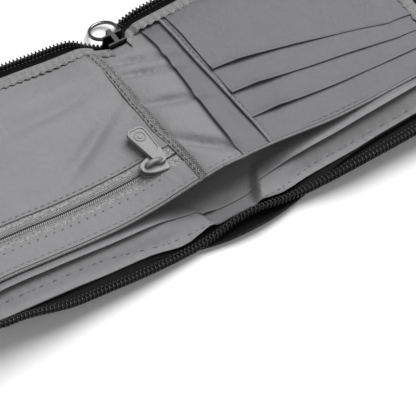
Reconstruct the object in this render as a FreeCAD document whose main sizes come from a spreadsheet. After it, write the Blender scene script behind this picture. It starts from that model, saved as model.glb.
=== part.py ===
import FreeCAD
import Part
import Sketcher
import math
import os

# A zip-round bifold wallet, lying open with its two halves slightly raised.
# Millimetres. +X runs from the left half to the right half, +Y to the far side where the zipper starts,
# and +Z up. The origin is the centre of the spine's underside.
# Each half is laid out flat, then turned up about its fold line by the resting fold angle.

SIZES = {
    # overall
    "spine_width": 20.0,
    "cover_reach": 116.0,
    "cover_depth": 95.0,
    "cover_corner": 12.0,
    "panel_corner": 4.0,
    "fold_height": 2.2,
    "spine_recess": 7.0,
    "notch_reach": 10.5,
    "rest_fold_left": 8.0,
    "rest_fold_right": 5.0,
    "fold_gap": 0.3,
    # layers of a half, from the table up
    "cover_thick": 0.8,
    "board_thick": 0.8,
    "lining_thick": 0.4,
    "bill_space": 4.4,
    "divider_thick": 0.4,
    "panel_thick": 0.6,
    "layer_gap": 0.2,
    "board_margin": 6.0,
    "lining_margin": 2.0,
    "binding_width": 4.0,
    "panel_setback": 12.0,
    "divider_setback": 9.5,
    "piping_radius": 0.8,
    # main zipper
    "tape_overhang": 7.0,
    "tape_inset": 6.0,
    "tape_thick": 0.5,
    "coil_width": 3.0,
    "coil_height": 1.8,
    "coil_overhang": 0.4,
    "far_tape_depth": 4.5,
    "far_coil_setback": 1.3,
    "near_first_loop": 2.8,
    "far_first_loop": 4.8,
    "spine_coil_end_gap": 1.5,
    "near_stop_half": 2.7,
    "near_stop_height": 2.6,
    # coin pocket
    "strip_width": 5.0,
    "coin_chain_from_edge": 15.4,
    "coin_window": 9.8,
    "coin_tape_lift": 0.9,
    "coin_tape_thick": 0.3,
    "coin_tape_cover": 3.0,
    "coin_coil_end_gap": 1.5,
    "coin_front_thick": 0.4,
    "coin_coil_width": 1.95,
    "coin_coil_gap": 0.7,
    "coin_coil_height": 1.4,
    "hem_width": 5.0,
    # card pockets
    "rear_pocket_inset": 2.0,
    "card_panel_inset": 13.0,
    "pocket_thick": 0.3,
    "pocket_gap": 0.1,
    "card_piping_radius": 0.6,
    "slot_side_gap": 0.4,
    "slot_pitch": 14.0,
    "first_slot": 14.0,
    # zipper sliders and pullers
    "coin_slider_from_fold": 8.5,
    "coin_slider_length": 10.4,
    "coin_slider_half_width": 4.1,
    "coin_slider_plate": 0.6,
    "coin_slider_flange": 0.7,
    "coin_crown_leg": 0.9,
    "coin_crown_inset": 2.1,
    "coin_crown_width": 2.6,
    "coin_post_length": 1.6,
    "coin_post_width": 0.4,
    "tab_length": 18.0,
    "tab_width": 8.4,
    "tab_eye_width": 5.8,
    "tab_thick": 1.3,
    "tab_corner": 1.6,
    "tab_play": 0.35,
    "tab_swing": 6.0,
    "main_slider_half_width": 4.2,
    "main_slider_plate": 0.7,
    "main_slider_room": 1.9,
    "main_slider_low": 1.5,
    "main_slider_high": 10.1,
    "main_slider_web": 2.0,
    "main_post_height": 2.4,
    "main_crown_bar": 0.9,
    "main_crown_half": 3.2,
    "main_crown_leg": 1.0,
    "hinge_play": 0.2,
    "ring_radius": 5.7,
    "ring_wire": 0.75,
    "ring_tilt": -20.0,
}

doc = FreeCAD.newDocument("wallet")
sheet = doc.addObject("Spreadsheet::Sheet", "Sizes")
for row, (alias, amount) in enumerate(SIZES.items(), start=1):
    sheet.set(f"A{row}", alias)
    sheet.set(f"B{row}", str(amount))
    sheet.setAlias(f"B{row}", alias)
doc.recompute()


def size(alias):
    """A driving dimension, read back from the sheet."""
    return float(sheet.get(alias))


def total(*aliases):
    """An expression that adds cells of the sheet."""
    return " + ".join("Sizes." + alias for alias in aliases)


# Heights of the layers, as expressions.
COVER_TOP = total("cover_thick")
BOARD_TOP = total("cover_thick", "board_thick")
LINING_TOP = total("cover_thick", "board_thick", "lining_thick")
DIVIDER_BASE = total("cover_thick", "board_thick", "lining_thick", "bill_space")
PANEL_BASE = DIVIDER_BASE + " + " + total("divider_thick", "layer_gap")
PANEL_TOP = PANEL_BASE + " + " + total("panel_thick")
FOLD_LINE = "Sizes.spine_width / 2"
INNER_END = "Sizes.spine_width / 2 + Sizes.fold_gap"
HALF_DEPTH = "Sizes.cover_depth / 2"
SPINE_FAR = "Sizes.cover_depth / 2 - Sizes.spine_recess"
PANEL_NEAR = "-Sizes.cover_depth / 2 + Sizes.panel_setback"
LINING_END = "Sizes.cover_reach - Sizes.lining_margin"

subparts = []


def half_placement(side):
    """Turns a flat half (side -1 left, 1 right) up about its fold line to the resting angle."""
    fold_line = FreeCAD.Vector(side * size("spine_width") / 2, 0, size("fold_height"))
    angle = size("rest_fold_left") if side < 0 else size("rest_fold_right")
    upward = FreeCAD.Rotation(FreeCAD.Vector(0, -side, 0), angle)
    return FreeCAD.Placement(FreeCAD.Vector(0, 0, 0), upward, fold_line)


def finish(piece, label, side=0):
    """Names a sub-part, places it on its half and lists it for export."""
    piece.Label = label
    if side:
        piece.Placement = half_placement(side) * piece.Placement
    subparts.append(piece)
    return piece


def plane(body, role):
    """An origin plane of the body, found by its role."""
    return next(f for f in body.Origin.OriginFeatures if f.Role == role)


def rectangle(body, name, x_low, x_high, y_low, y_high, z_low):
    """A sketch of a rectangle parallel to XY. Its corner and sides are bound to expressions."""
    sketch = body.newObject("Sketcher::SketchObject", name)
    sketch.AttachmentSupport = [(plane(body, "XY_Plane"), "")]
    sketch.MapMode = "FlatFace"
    sketch.setExpression("AttachmentOffset.Base.x", x_low)
    sketch.setExpression("AttachmentOffset.Base.y", y_low)
    sketch.setExpression("AttachmentOffset.Base.z", z_low)
    corners = [(0, 0), (10, 0), (10, 10), (0, 10)]
    points = [FreeCAD.Vector(x, y, 0) for x, y in corners]
    for start, end in zip(points, points[1:] + points[:1]):
        sketch.addGeometry(Part.LineSegment(start, end), False)
    for line in range(4):
        sketch.addConstraint(Sketcher.Constraint("Coincident", line, 2, (line + 1) % 4, 1))
    for line, direction in enumerate(["Horizontal", "Vertical", "Horizontal", "Vertical"]):
        sketch.addConstraint(Sketcher.Constraint(direction, line))
    sketch.addConstraint(Sketcher.Constraint("Coincident", 0, 1, -1, 1))
    sketch.renameConstraint(sketch.addConstraint(Sketcher.Constraint("DistanceX", 0, 1, 0, 2, 10)), "wide")
    sketch.renameConstraint(sketch.addConstraint(Sketcher.Constraint("DistanceY", 1, 1, 1, 2, 10)), "deep")
    sketch.setExpression("Constraints.wide", f"({x_high}) - ({x_low})")
    sketch.setExpression("Constraints.deep", f"({y_high}) - ({y_low})")
    return sketch


def across(side, inner, outer):
    """Low and high x expressions of a piece that reaches from inner to outer on one side of the spine."""
    if side < 0:
        return f"-({outer})", f"-({inner})"
    return inner, outer


def slab(name, side, inner, outer, y_low, y_high, z_low, thick):
    """A flat sheet or strip on one half: a padded rectangle."""
    body = doc.addObject("PartDesign::Body", name)
    x_low, x_high = across(side or 1, inner, outer)
    outline = rectangle(body, name + "_outline", x_low, x_high, y_low, y_high, z_low)
    pad = body.newObject("PartDesign::Pad", name + "_pad")
    pad.Profile = outline
    pad.setExpression("Length", thick)
    outline.Visibility = False
    doc.recompute()
    return body


def upright_edges(shape, x_reach, y_reach):
    """Names of the edges along Z that stand at (x_reach, +-y_reach)."""
    found = []
    for index, edge in enumerate(shape.Edges, start=1):
        box = edge.BoundBox
        along_z = box.ZLength > 1e-3 and box.XLength < 1e-3 and box.YLength < 1e-3
        if along_z and abs(box.XMin - x_reach) < 1e-3 and abs(abs(box.YMin) - y_reach) < 1e-3:
            found.append(f"Edge{index}")
    return found


def round_corners(body, side, reach, half_depth, radius_expression):
    """Rounds the two outer corners of a half's sheet."""
    base = body.Tip
    fillet = body.newObject("PartDesign::Fillet", body.Name + "_corners")
    fillet.Base = (base, upright_edges(base.Shape, side * reach, half_depth))
    fillet.setExpression("Radius", radius_expression)
    doc.recompute()


def round_panel(body, side):
    """Rounds the far outer corner of a sheet that ends at the lining's edge."""
    reach = size("cover_reach") - size("lining_margin")
    round_corners(body, side, reach, size("cover_depth") / 2, "Sizes.panel_corner")


def notch(body, side):
    """Cuts a sheet back at its far corner beside the spine, where the main slider stands."""
    x_low, x_high = across(side, "0", FOLD_LINE + " + Sizes.notch_reach")
    y_low = SPINE_FAR + " - Sizes.pocket_gap"
    y_high = HALF_DEPTH + " + Sizes.binding_width"
    corner = rectangle(body, body.Name + "_notch", x_low, x_high, y_low, y_high, "0")
    pocket = body.newObject("PartDesign::Pocket", body.Name + "_notch_cut")
    pocket.Profile = corner
    pocket.Type = "ThroughAll"
    pocket.Midplane = True
    doc.recompute()


def hoop(name, side, outer_reach, inner_reach, outer_half, inner_half, z_low, thick, outer_r, inner_r):
    """A U-shaped strip that follows the three free sides of a half, open at the spine."""
    body = slab(name, side, INNER_END, outer_reach, f"-({outer_half})", outer_half, z_low, thick)
    full = body.Shape.Volume
    x_low, x_high = across(side, "0", inner_reach)
    opening = rectangle(body, name + "_inside", x_low, x_high, f"-({inner_half})", inner_half, z_low)
    pocket = body.newObject("PartDesign::Pocket", name + "_pocket")
    pocket.Profile = opening
    pocket.Type = "ThroughAll"
    pocket.Midplane = True
    doc.recompute()
    if body.Shape.Volume > 0.8 * full:
        raise RuntimeError(name + ": the inside wasn't cut away")
    box = body.Shape.BoundBox
    reach = max(abs(box.XMin), abs(box.XMax))
    round_corners(body, side, reach, box.YMax, outer_r)
    inside = abs(opening.Shape.BoundBox.XMin if side < 0 else opening.Shape.BoundBox.XMax)
    base = body.Tip
    fillet = body.newObject("PartDesign::Fillet", name + "_inner_corners")
    fillet.Base = (base, upright_edges(base.Shape, side * inside, opening.Shape.BoundBox.YMax))
    fillet.setExpression("Radius", inner_r)
    doc.recompute()
    return body


def box_piece(name, length, width, height, corner):
    """A Part box with given sizes (expressions) and low corner (numbers)."""
    piece = doc.addObject("Part::Box", name)
    piece.setExpression("Length", length)
    piece.setExpression("Width", width)
    piece.setExpression("Height", height)
    piece.Placement.Base = FreeCAD.Vector(*corner)
    return piece


def rod(name, radius, length, start, direction):
    """A Part cylinder of a given radius and length (expressions) along a direction."""
    piece = doc.addObject("Part::Cylinder", name)
    piece.setExpression("Radius", radius)
    piece.setExpression("Height", length)
    turn = FreeCAD.Rotation(FreeCAD.Vector(0, 0, 1), FreeCAD.Vector(*direction))
    piece.Placement = FreeCAD.Placement(FreeCAD.Vector(*start), turn)
    return piece


def fuse(name, shapes):
    piece = doc.addObject("Part::MultiFuse", name)
    piece.Shapes = shapes
    return piece


def value(expression_total):
    """The number that an expression made by total() stands for."""
    return sum(size(term.strip().replace("Sizes.", "")) for term in expression_total.split("+"))


SIDES = ((-1, "left"), (1, "right"))


def outer_shell():
    """Cover, stiffener board and bill lining of each half, and the fabric of the spine."""
    for side, word in SIDES:
        cover = slab(
            f"cover_{word}",
            side,
            FOLD_LINE,
            total("cover_reach"),
            f"-({HALF_DEPTH})",
            HALF_DEPTH,
            "0",
            COVER_TOP,
        )
        round_corners(cover, side, size("cover_reach"), size("cover_depth") / 2, total("cover_corner"))
        finish(cover, f"cover_{word}", side)
        margin = "Sizes.board_margin"
        board = slab(
            f"stiffener_{word}",
            side,
            f"{FOLD_LINE} + {margin} / 2",
            f"Sizes.cover_reach - {margin}",
            f"-({HALF_DEPTH}) + {margin}",
            f"{HALF_DEPTH} - {margin}",
            COVER_TOP,
            "Sizes.board_thick",
        )
        round_corners(
            board,
            side,
            size("cover_reach") - size("board_margin"),
            size("cover_depth") / 2 - size("board_margin"),
            "Sizes.cover_corner - Sizes.board_margin",
        )
        finish(board, f"stiffener_{word}", side)
        lining = slab(
            f"bill_lining_{word}",
            side,
            INNER_END,
            LINING_END,
            f"-({HALF_DEPTH})",
            HALF_DEPTH,
            BOARD_TOP,
            "Sizes.lining_thick",
        )
        round_corners(
            lining,
            side,
            size("cover_reach") - size("lining_margin"),
            size("cover_depth") / 2,
            "Sizes.cover_corner - Sizes.lining_margin",
        )
        finish(lining, f"bill_lining_{word}", side)
    near = f"-({HALF_DEPTH})"
    spine = slab("cover_spine", 0, f"-({FOLD_LINE})", FOLD_LINE, near, SPINE_FAR, "0", COVER_TOP)
    finish(spine, "cover_spine")
    lining = slab(
        "bill_lining_spine",
        0,
        f"-({FOLD_LINE})",
        FOLD_LINE,
        f"-({HALF_DEPTH})",
        SPINE_FAR,
        COVER_TOP,
        "Sizes.lining_thick",
    )
    finish(lining, "bill_lining_spine")


def main_zipper():
    """Tape and coil round each half, the short bridge at each end of the spine, and the end stops."""
    tape_reach = total("cover_reach", "tape_overhang")
    tape_half = HALF_DEPTH + " + Sizes.tape_overhang"
    for side, word in SIDES:
        tape = hoop(
            f"main_tape_{word}",
            side,
            tape_reach,
            "Sizes.cover_reach - Sizes.tape_inset + 0.2",
            tape_half,
            HALF_DEPTH + " - Sizes.tape_inset + 0.2",
            COVER_TOP,
            "Sizes.tape_thick",
            "Sizes.cover_corner + Sizes.tape_overhang",
            "Sizes.cover_corner - Sizes.tape_inset",
        )
        finish(tape, f"main_tape_{word}", side)
        coil = hoop(
            f"main_coil_{word}",
            side,
            tape_reach + " + Sizes.coil_overhang",
            tape_reach + " + Sizes.coil_overhang - Sizes.coil_width",
            tape_half + " + Sizes.coil_overhang",
            tape_half + " + Sizes.coil_overhang - Sizes.coil_width",
            COVER_TOP + " + Sizes.tape_thick",
            "Sizes.coil_height",
            "Sizes.cover_corner + Sizes.tape_overhang + Sizes.coil_overhang",
            "Sizes.cover_corner + Sizes.tape_overhang + Sizes.coil_overhang - Sizes.coil_width",
        )
        finish(coil, f"main_coil_{word}", side)
    spine_zipper()


def spine_zipper():
    """The zipper's two ends on the spine. The far end is recessed: the tape dips there to the slider."""
    coil_base = COVER_TOP + " + Sizes.tape_thick"
    near_outer = HALF_DEPTH + " + Sizes.tape_overhang + Sizes.coil_overhang"
    far_coil = SPINE_FAR + " + Sizes.far_coil_setback"
    tape_ends = {
        "near": (f"-({HALF_DEPTH} + Sizes.tape_overhang)", f"-({HALF_DEPTH}) - Sizes.pocket_gap"),
        "far": (SPINE_FAR + " + Sizes.pocket_gap", SPINE_FAR + " + Sizes.far_tape_depth"),
    }
    coil_ends = {
        "near": (f"-({near_outer})", f"-({near_outer}) + Sizes.coil_width"),
        "far": (far_coil, far_coil + " + Sizes.coil_width"),
    }
    for word in ("near", "far"):
        low, high = tape_ends[word]
        tape = slab(
            f"main_tape_spine_{word}",
            0,
            f"-({FOLD_LINE})",
            FOLD_LINE,
            low,
            high,
            COVER_TOP,
            "Sizes.tape_thick",
        )
        finish(tape, f"main_tape_spine_{word}")
        low, high = coil_ends[word]
        for side, side_word in SIDES:
            coil = slab(
                f"main_coil_spine_{word}_{side_word}",
                side,
                f"Sizes.{word}_first_loop",
                FOLD_LINE + " - Sizes.spine_coil_end_gap",
                low,
                high,
                coil_base,
                "Sizes.coil_height",
            )
            finish(coil, f"main_coil_spine_{word}_{side_word}")
    low, high = coil_ends["near"]
    half = "Sizes.near_stop_half"
    stop = slab("main_stop_near", 0, f"-({half})", half, low, high, coil_base, "Sizes.near_stop_height")
    finish(stop, "main_stop_near")


def bill_compartment():
    """Bindings at the far and outer sides, and the divider sheet that makes two bill sections."""
    for side, word in SIDES:
        far = slab(
            f"bill_binding_far_{word}",
            side,
            INNER_END,
            LINING_END,
            HALF_DEPTH + " - Sizes.binding_width",
            HALF_DEPTH,
            LINING_TOP,
            "Sizes.bill_space",
        )
        round_corners(
            far,
            side,
            size("cover_reach") - size("lining_margin"),
            size("cover_depth") / 2,
            "Sizes.binding_width - 0.1",
        )
        notch(far, side)
        finish(far, f"bill_binding_far_{word}", side)
        outer = slab(
            f"bill_binding_outer_{word}",
            side,
            LINING_END + " - Sizes.binding_width",
            LINING_END,
            f"-({HALF_DEPTH}) + Sizes.panel_setback",
            HALF_DEPTH + " - Sizes.binding_width",
            LINING_TOP,
            "Sizes.bill_space",
        )
        finish(outer, f"bill_binding_outer_{word}", side)
        divider = slab(
            f"bill_divider_{word}",
            side,
            INNER_END,
            LINING_END,
            f"-({HALF_DEPTH}) + Sizes.divider_setback",
            HALF_DEPTH,
            DIVIDER_BASE,
            "Sizes.divider_thick",
        )
        round_panel(divider, side)
        notch(divider, side)
        finish(divider, f"bill_divider_{word}", side)


def arch(name, half_width, foot, rise, thick, y_low, y_high):
    """A sheet that arches over the spine: an arc of a circle, extruded along Y."""
    body = doc.addObject("PartDesign::Body", name)
    sketch = body.newObject("Sketcher::SketchObject", name + "_profile")
    sketch.AttachmentSupport = [(plane(body, "XZ_Plane"), "")]
    sketch.MapMode = "FlatFace"
    radius = (half_width**2 + rise**2) / (2 * rise)
    centre = FreeCAD.Vector(0, foot + rise - radius, 0)
    spread = math.asin(half_width / radius)
    normal = FreeCAD.Vector(0, 0, 1)
    ends = (math.pi / 2 - spread, math.pi / 2 + spread)
    radii = (radius, radius + thick)
    arcs = [Part.ArcOfCircle(Part.Circle(centre, normal, r), *ends) for r in radii]
    for arc in arcs:
        sketch.addGeometry(arc, False)
    for start, end in ((arcs[0].StartPoint, arcs[1].StartPoint), (arcs[1].EndPoint, arcs[0].EndPoint)):
        sketch.addGeometry(Part.LineSegment(start, end), False)
    for first, first_end, second, second_end in ((2, 1, 0, 1), (2, 2, 1, 1), (3, 1, 1, 2), (3, 2, 0, 2)):
        sketch.addConstraint(Sketcher.Constraint("Coincident", first, first_end, second, second_end))
    pad = body.newObject("PartDesign::Pad", name + "_pad")
    pad.Profile = sketch
    pad.Length = y_high - y_low
    pad.Reversed = True
    sketch.AttachmentOffset = FreeCAD.Placement(FreeCAD.Vector(0, 0, -y_low), FreeCAD.Rotation())
    sketch.Visibility = False
    doc.recompute()
    return body


def slack_over_spine():
    """The loose fabric of the divider and the inner panel between the halves. It crumples as they fold."""
    half_width = size("spine_width") / 2 - 1.7
    near = -size("cover_depth") / 2
    far = size("cover_depth") / 2 - size("spine_recess")
    divider_base = value(DIVIDER_BASE)
    divider = arch(
        "bill_divider_spine",
        half_width,
        divider_base,
        4.0,
        size("divider_thick"),
        near + size("divider_setback"),
        far,
    )
    finish(divider, "bill_divider_spine")
    panel = arch(
        "inner_panel_spine",
        half_width,
        value(PANEL_BASE) + 0.2,
        8.0,
        size("panel_thick"),
        near + size("panel_setback"),
        far,
    )
    finish(panel, "inner_panel_spine")


def inner_panels():
    """The panel that carries the pockets of each half, and the piping on its near edge."""
    for side, word in SIDES:
        panel = slab(
            f"inner_panel_{word}",
            side,
            INNER_END,
            LINING_END,
            PANEL_NEAR,
            HALF_DEPTH,
            PANEL_BASE,
            "Sizes.panel_thick",
        )
        round_panel(panel, side)
        notch(panel, side)
        finish(panel, f"inner_panel_{word}", side)
        radius = size("piping_radius")
        start = (
            side * (size("spine_width") / 2 + size("fold_gap")),
            -size("cover_depth") / 2 + size("panel_setback") - radius,
            value(PANEL_BASE) + radius,
        )
        piping = rod(
            f"panel_piping_{word}",
            "Sizes.piping_radius",
            "Sizes.cover_reach - Sizes.lining_margin - Sizes.spine_width / 2 - Sizes.fold_gap",
            start,
            (side, 0, 0),
        )
        finish(piping, f"panel_piping_{word}", side)


def coin_pocket():
    """The zipped coin pocket on the left half: a front in two parts, tapes, coil rows, strip and hems."""
    side = -1
    gap = "Sizes.layer_gap"
    chain = PANEL_NEAR + " + Sizes.coin_chain_from_edge"
    window_far = chain + " + Sizes.coin_window / 2"
    window_near = chain + " - Sizes.coin_window / 2"
    pocket_inner = INNER_END + " + Sizes.strip_width"
    tape_base = PANEL_TOP + " + Sizes.coin_tape_lift"
    tape_top = tape_base + " + Sizes.coin_tape_thick"
    front_base = tape_top + " + Sizes.pocket_gap"
    pocket_outer = LINING_END + " - Sizes.hem_width"
    hem_base = f"{PANEL_TOP} + {gap}"
    front = "Sizes.coin_front_thick"
    far_end = HALF_DEPTH + " - Sizes.hem_width"
    hem_height = f"({front_base}) - ({PANEL_TOP}) - {gap} + {front}"

    far_part = slab(
        "coin_pocket_front_far", side, pocket_inner, pocket_outer, window_far, far_end, front_base, front
    )
    notch(far_part, side)
    finish(far_part, "coin_pocket_front_far", side)
    near_part = slab(
        "coin_pocket_front_near", side, pocket_inner, pocket_outer, PANEL_NEAR, window_near, front_base, front
    )
    finish(near_part, "coin_pocket_front_near", side)

    strip = slab(
        "coin_seam_strip", side, INNER_END, pocket_inner, PANEL_NEAR, HALF_DEPTH, hem_base, hem_height
    )
    notch(strip, side)
    finish(strip, "coin_seam_strip", side)
    far_hem = slab("coin_hem_far", side, pocket_inner, LINING_END, far_end, HALF_DEPTH, hem_base, hem_height)
    round_panel(far_hem, side)
    notch(far_hem, side)
    finish(far_hem, "coin_hem_far", side)
    outer_hem = slab(
        "coin_hem_outer", side, pocket_outer, LINING_END, PANEL_NEAR, far_end, hem_base, hem_height
    )
    finish(outer_hem, "coin_hem_outer", side)

    coil_inner = "Sizes.coin_coil_gap / 2"
    coil_outer = "Sizes.coin_coil_gap / 2 + Sizes.coin_coil_width"
    for direction, word in ((1, "far"), (-1, "near")):
        ends = (coil_inner, "Sizes.coin_window / 2 + Sizes.coin_tape_cover")
        low, high = (f"{chain} + {ends[0]}", f"{chain} + {ends[1]}")
        if direction < 0:
            low, high = (f"{chain} - ({ends[1]})", f"{chain} - {ends[0]}")
        tape = slab(
            f"coin_zip_tape_{word}",
            side,
            pocket_inner + " + Sizes.pocket_gap",
            pocket_outer + " - Sizes.pocket_gap",
            low,
            high,
            tape_base,
            "Sizes.coin_tape_thick",
        )
        finish(tape, f"coin_zip_tape_{word}", side)
        low, high = (f"{chain} + {coil_inner}", f"{chain} + {coil_outer}")
        if direction < 0:
            low, high = (f"{chain} - ({coil_outer})", f"{chain} - {coil_inner}")
        coil = slab(
            f"coin_zip_coil_{word}",
            side,
            pocket_inner + " + Sizes.coin_coil_end_gap",
            pocket_outer + " - Sizes.coin_coil_end_gap",
            low,
            high,
            tape_top,
            "Sizes.coin_coil_height",
        )
        finish(coil, f"coin_zip_coil_{word}", side)


def card_pockets():
    """Two slip pockets open to the spine and three card slots open to the near side, on the right half."""
    side = 1
    thick = "Sizes.pocket_thick"
    gap = "Sizes.pocket_gap"
    rear_base = f"{PANEL_TOP} + {gap}"
    panel_base = f"{rear_base} + {thick} + {gap}"
    rear_edge = f"{FOLD_LINE} + Sizes.rear_pocket_inset"
    panel_edge = f"{FOLD_LINE} + Sizes.card_panel_inset"
    rear = slab("slip_pocket_rear", side, rear_edge, LINING_END, PANEL_NEAR, HALF_DEPTH, rear_base, thick)
    round_panel(rear, side)
    notch(rear, side)
    finish(rear, "slip_pocket_rear", side)
    panel = slab("slip_pocket_front", side, panel_edge, LINING_END, PANEL_NEAR, HALF_DEPTH, panel_base, thick)
    round_panel(panel, side)
    finish(panel, "slip_pocket_front", side)
    radius = size("card_piping_radius")
    start = (
        size("spine_width") / 2 + size("card_panel_inset") - radius,
        -size("cover_depth") / 2 + size("panel_setback"),
        value(PANEL_TOP) + size("pocket_thick") + 2 * size("pocket_gap") + radius,
    )
    run = "Sizes.cover_depth - Sizes.panel_setback"
    piping = rod("card_panel_piping", "Sizes.card_piping_radius", run, start, (0, 1, 0))
    finish(piping, "card_panel_piping", side)
    for index, word in enumerate(("near", "middle", "far")):
        mouth = f"{PANEL_NEAR} + Sizes.first_slot + {index} * Sizes.slot_pitch"
        base = f"{panel_base} + {index + 1} * ({thick} + {gap})"
        slot_edge = f"{panel_edge} + Sizes.slot_side_gap"
        slot = slab(f"card_slot_{word}", side, slot_edge, LINING_END, mouth, HALF_DEPTH, base, thick)
        round_panel(slot, side)
        finish(slot, f"card_slot_{word}", side)


def coin_slider():
    """The painted slider of the coin pocket with its crown, and the tab on the leg nearest the spine."""
    side = -1
    length = size("coin_slider_length")
    x_right = -size("spine_width") / 2 - size("coin_slider_from_fold")
    x_left = x_right - length
    y_mid = -size("cover_depth") / 2 + size("panel_setback") + size("coin_chain_from_edge")
    panel_top = value(PANEL_TOP)
    tape_base = panel_top + size("coin_tape_lift")
    tape_top = tape_base + size("coin_tape_thick")
    plate = size("coin_slider_plate")
    half_wide = size("coin_slider_half_width")
    rim = size("coin_slider_flange")
    play = size("hinge_play")
    bottom = panel_top + size("pocket_gap")
    top = tape_top + size("coin_coil_height") + play
    crown_room = size("tab_thick") + 2 * play
    leg = size("coin_crown_leg")
    crown_bar = leg
    crown_wide = size("coin_crown_width")
    inset = size("coin_crown_inset")
    leg_x = (x_left + inset, x_right - inset)

    def level_box(name, span, wide, tall, x, y, z):
        return box_piece(f"coin_slider_{name}", str(span), str(wide), str(tall), (x, y, z))

    y_near = y_mid - half_wide
    y_far = y_mid + half_wide - rim
    flange_low = tape_top + rim
    flange_tall = top + plate - flange_low
    post_long = size("coin_post_length")
    post_wide = size("coin_post_width")
    base_plate = level_box("base", length, 2 * half_wide, plate, x_left, y_near, bottom)
    top_plate = level_box("top", length, 2 * half_wide, plate, x_left, y_near, top)
    post_x = x_right - post_long - play
    post = level_box("post", post_long, post_wide, top - bottom, post_x, y_mid - post_wide / 2, bottom)
    flange = [
        level_box("flange_near", length, rim, flange_tall, x_left, y_near, flange_low),
        level_box("flange_far", length, rim, flange_tall, x_left, y_far, flange_low),
    ]
    leg_tall = str(crown_room + plate + crown_bar)
    legs = [
        rod(f"coin_slider_leg_{word}", str(leg), leg_tall, (x, y_mid, top), (0, 0, 1))
        for word, x in zip(("outer", "inner"), leg_x)
    ]
    crown_long = leg_x[1] - leg_x[0] + 2 * leg
    crown_z = top + plate + crown_room
    crown_y = y_mid - crown_wide / 2
    crown = level_box("crown", crown_long, crown_wide, crown_bar, leg_x[0] - leg, crown_y, crown_z)
    slider = fuse("coin_slider_body", [base_plate, top_plate, post, *flange, *legs, crown])
    finish(slider, "coin_zip_slider", side)

    tab = doc.addObject("PartDesign::Body", "coin_tab")
    sketch = tab.newObject("Sketcher::SketchObject", "coin_tab_outline")
    sketch.AttachmentSupport = [(plane(tab, "XY_Plane"), "")]
    sketch.MapMode = "FlatFace"
    reach = size("tab_length")
    eye = size("tab_eye_width") / 2
    tip = size("tab_width") / 2
    corner = size("tab_corner")
    up = FreeCAD.Vector(0, 0, 1)
    eye_centre = FreeCAD.Vector(0, 0, 0)
    right_corner = Part.Circle(FreeCAD.Vector(tip - corner, reach - corner, 0), up, corner)
    left_corner = Part.Circle(FreeCAD.Vector(-tip + corner, reach - corner, 0), up, corner)
    arcs = [
        Part.ArcOfCircle(right_corner, 0, math.pi / 2),
        Part.ArcOfCircle(left_corner, math.pi / 2, math.pi),
        Part.ArcOfCircle(Part.Circle(eye_centre, up, eye), math.pi, 2 * math.pi),
    ]
    outline = [
        arcs[0],
        Part.LineSegment(arcs[0].EndPoint, arcs[1].StartPoint),
        arcs[1],
        Part.LineSegment(arcs[1].EndPoint, arcs[2].StartPoint),
        arcs[2],
        Part.LineSegment(arcs[2].EndPoint, arcs[0].StartPoint),
    ]
    for edge in outline:
        sketch.addGeometry(edge, False)
    for index in range(len(outline)):
        sketch.addConstraint(Sketcher.Constraint("Coincident", index, 2, (index + 1) % len(outline), 1))
    sketch.addGeometry(Part.Circle(eye_centre, up, leg + size("tab_play")), False)
    pad = tab.newObject("PartDesign::Pad", "coin_tab_pad")
    pad.Profile = sketch
    pad.setExpression("Length", "Sizes.tab_thick")
    sketch.Visibility = False
    doc.recompute()
    swing = FreeCAD.Rotation(up, size("tab_swing"))
    tab.Placement = FreeCAD.Placement(FreeCAD.Vector(leg_x[1], y_mid, top + plate + play), swing)
    finish(tab, "coin_puller_tab", side)


def main_slider():
    """The metal slider at the far end of the spine and the O-ring through its crown."""
    spine_far = size("cover_depth") / 2 - size("spine_recess")
    coil_middle = spine_far + size("far_coil_setback") + size("coil_width") / 2
    low = size("main_slider_low")
    high = size("main_slider_high")
    half_wide = size("main_slider_half_width")
    plate = size("main_slider_plate")
    room = size("main_slider_room")
    web = size("main_slider_web")
    inner_y = coil_middle - room - plate
    outer_y = coil_middle + room

    def upright_box(name, wide, deep, tall, y, z):
        """A box centred across the spine."""
        return box_piece(f"main_slider_{name}", str(wide), str(deep), str(tall), (-wide / 2, y, z))

    inner_plate = upright_box("inner", 2 * half_wide, plate, high - low, inner_y, low)
    outer_plate = upright_box("outer", 2 * half_wide, plate, high - low, outer_y, low)
    post_tall = size("main_post_height")
    post = upright_box("post", web, 2 * room + plate, post_tall, inner_y, high - post_tall)
    wire_room = size("ring_wire") + size("hinge_play")
    hinge_z = (low + high) / 2
    hinge_y = outer_y + plate + wire_room
    bar = size("main_crown_bar")
    bar_y = hinge_y + wire_room
    crown_half = size("main_crown_half")
    leg = size("main_crown_leg")
    leg_deep = bar_y + bar - outer_y
    legs = [
        upright_box("leg_low", web, leg_deep, leg, outer_y, hinge_z - crown_half),
        upright_box("leg_high", web, leg_deep, leg, outer_y, hinge_z + crown_half - leg),
    ]
    crown = upright_box("crown", web, bar, 2 * crown_half, bar_y, hinge_z - crown_half)
    slider = fuse("main_slider_body", [inner_plate, outer_plate, post, *legs, crown])
    finish(slider, "main_zip_slider")

    ring = doc.addObject("Part::Torus", "main_ring")
    ring.setExpression("Radius1", "Sizes.ring_radius")
    ring.setExpression("Radius2", "Sizes.ring_wire")
    tilt = math.radians(size("ring_tilt"))
    reach = size("ring_radius")
    centre = FreeCAD.Vector(0, hinge_y + reach * math.cos(tilt), hinge_z + reach * math.sin(tilt))
    ring.Placement = FreeCAD.Placement(centre, FreeCAD.Rotation(FreeCAD.Vector(1, 0, 0), size("ring_tilt")))
    finish(ring, "main_ring")


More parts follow.
